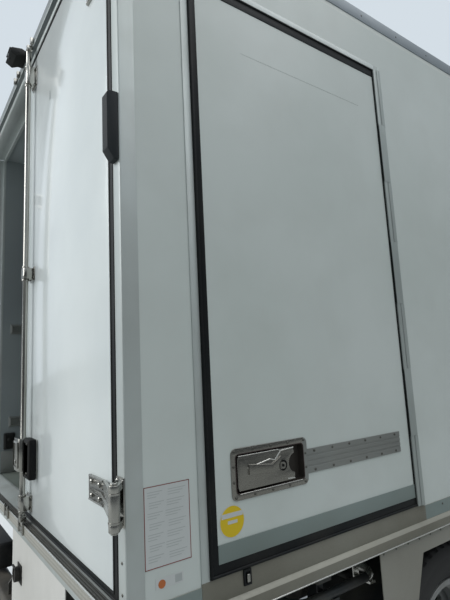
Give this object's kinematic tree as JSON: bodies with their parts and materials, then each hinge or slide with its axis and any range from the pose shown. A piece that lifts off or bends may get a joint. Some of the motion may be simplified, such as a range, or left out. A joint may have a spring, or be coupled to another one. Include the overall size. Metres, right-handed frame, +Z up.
{
  "type": "refrigerated truck",
  "caption": "Light forward-control truck with an insulated load box, swinging rear and side doors, a tilting cab, steering front wheels and a front-mounted cooling unit.",
  "frame": {"origin": "on the ground, midway along and across the whole truck", "axes": "+X forward, +Y to the truck's left, +Z up"},
  "size_m": [6.2868, 2.55, 3.1704],
  "materials": {
    "chassis_black": "satin, dusty",
    "engine_grey": "matt",
    "tank_aluminium": "brushed",
    "exhaust_steel": "dull, heat stained",
    "lamp_red": "clear moulded",
    "guard_plastic": "grained",
    "guard_aluminium": "anodised",
    "skirt_grey": "satin",
    "tube_steel": "satin",
    "floor_grey": "grained, worn",
    "white_grp": "gelcoat, slightly dirty",
    "frame_aluminium": "anodised satin",
    "rail_aluminium": "weathered",
    "hinge_steel": "satin",
    "black_rubber": "matt",
    "camera_black": "satin",
    "unit_white": "moulded",
    "unit_dark": "moulded",
    "evaporator_white": "satin",
    "leaf_white": "glossy gelcoat",
    "door_aluminium": "anodised satin",
    "cab_white": "gloss",
    "cab_glass": "tinted",
    "trim_black": "grained",
    "interior_grey": "grained",
    "seat_frame": "satin",
    "seat_cloth": "woven",
    "bumper_grey": "grained",
    "wheel_steel": "satin silver",
    "tyre_rubber": "worn"
  },
  "bodies": {
    "truck": {"chassis_frame": "chassis_black", "body_bearers": "chassis_black", "front_axle": "chassis_black", "rear_axle": "chassis_black", "driveline": "engine_grey", "fuel_tank": "tank_aluminium", "battery_box": "guard_plastic", "exhaust": "exhaust_steel", "rear_underrun": "chassis_black", "lamps": "lamp_red", "wheel_guards": "guard_plastic", "side_guards": "guard_aluminium", "skirt_plates": "skirt_grey", "step_tube": "tube_steel", "box_floor": "floor_grey", "side_wall_left": "white_grp", "side_wall_right": "white_grp", "box_roof": "white_grp", "front_wall": "white_grp", "rear_frame": "frame_aluminium", "box_rails": "rail_aluminium", "side_door_frame": "frame_aluminium", "rear_hinge_posts": "hinge_steel", "rubber_buffers": "black_rubber", "reversing_camera": "camera_black", "refrigeration_unit": "unit_white", "unit_grille": "unit_dark", "evaporator": "evaporator_white", "bumper": "bumper_grey"},
    "cab": {"cab_shell": "cab_white", "windscreen": "cab_glass", "cab_grille": "trim_black", "dashboard": "interior_grey", "seat_frames": "seat_frame", "seats": "seat_cloth", "mirrors": "trim_black"},
    "cab_door_left": {"cab_door_left": "cab_white", "cab_window_left": "cab_glass"},
    "cab_door_right": {"cab_door_right": "cab_white", "cab_window_right": "cab_glass"},
    "knuckle_left": {"knuckle_left": "chassis_black"},
    "knuckle_right": {"knuckle_right": "chassis_black"},
    "front_wheel_left": {"front_rim_left": "wheel_steel", "front_tyre_left": "tyre_rubber"},
    "front_wheel_right": {"front_rim_right": "wheel_steel", "front_tyre_right": "tyre_rubber"},
    "rear_wheels_left": {"rear_rims_left": "wheel_steel", "rear_tyres_left": "tyre_rubber"},
    "rear_wheels_right": {"rear_rims_right": "wheel_steel", "rear_tyres_right": "tyre_rubber"},
    "rear_door_right": {"rear_leaf_right": "leaf_white", "rear_gasket_right": "black_rubber", "rear_fittings_right": "hinge_steel"},
    "rear_door_left": {"rear_leaf_left": "leaf_white", "rear_gasket_left": "black_rubber", "rear_fittings_left": "hinge_steel"},
    "side_door": {"side_door_leaf": "white_grp", "side_door_seal": "black_rubber", "side_door_fittings": "door_aluminium"},
    "track_rod": {"track_rod": "chassis_black"}
  },
  "joints": [
    {"name": "rear_door_right_hinge", "type": "hinge", "parent": "truck", "child": "rear_door_right", "pos_m": [-3.0845, -1.149, 2.05], "axis": [0, 0, 1], "range_deg": [0, 270]},
    {"name": "rear_door_left_hinge", "type": "hinge", "parent": "truck", "child": "rear_door_left", "pos_m": [-3.0845, 1.149, 2.05], "axis": [0, 0, 1], "range_deg": [0, 270]},
    {"name": "side_door_hinge", "type": "hinge", "parent": "truck", "child": "side_door", "pos_m": [-1.799, -1.137, 1.9375], "axis": [0, 0, 1], "range_deg": [0, 170]},
    {"name": "cab_tilt", "type": "hinge", "parent": "truck", "child": "cab", "pos_m": [3.0485, 0, 0.86], "axis": [0, 1, 0], "range_deg": [0, 45]},
    {"name": "cab_door_right_hinge", "type": "hinge", "parent": "cab", "child": "cab_door_right", "pos_m": [2.9185, -1.014, 1.265], "axis": [0, 0, 1], "range_deg": [0, 70]},
    {"name": "cab_door_left_hinge", "type": "hinge", "parent": "cab", "child": "cab_door_left", "pos_m": [2.9185, 1.014, 1.265], "axis": [0, 0, -1], "range_deg": [0, 70]},
    {"name": "steering_left", "type": "hinge", "parent": "truck", "child": "knuckle_left", "pos_m": [2.0635, 0.77, 0.3835], "axis": [0, 0, 1], "range_deg": [-38, 38]},
    {"name": "steering_right", "type": "hinge", "parent": "truck", "child": "knuckle_right", "pos_m": [2.0635, -0.77, 0.3835], "axis": [0, 0, 1], "range_deg": [-38, 38]},
    {"name": "track_rod_joint", "type": "hinge", "parent": "knuckle_left", "child": "track_rod", "pos_m": [1.9185, 0.77, 0.287], "axis": [0, 0, 1], "range_deg": [-38, 38]},
    {"name": "front_wheel_left_spin", "type": "hinge", "parent": "knuckle_left", "child": "front_wheel_left", "pos_m": [2.0635, 0.85, 0.3835], "axis": [0, 1, 0], "continuous": true},
    {"name": "front_wheel_right_spin", "type": "hinge", "parent": "knuckle_right", "child": "front_wheel_right", "pos_m": [2.0635, -0.85, 0.3835], "axis": [0, 1, 0], "continuous": true},
    {"name": "rear_wheels_left_spin", "type": "hinge", "parent": "truck", "child": "rear_wheels_left", "pos_m": [-1.5365, 0.8295, 0.3835], "axis": [0, 1, 0], "continuous": true},
    {"name": "rear_wheels_right_spin", "type": "hinge", "parent": "truck", "child": "rear_wheels_right", "pos_m": [-1.5365, -0.8295, 0.3835], "axis": [0, 1, 0], "continuous": true}
  ],
  "couplings": [
    {"joint": "steering_right", "follows": "steering_left", "ratio": 1},
    {"joint": "track_rod_joint", "follows": "steering_left", "ratio": -1}
  ]
}
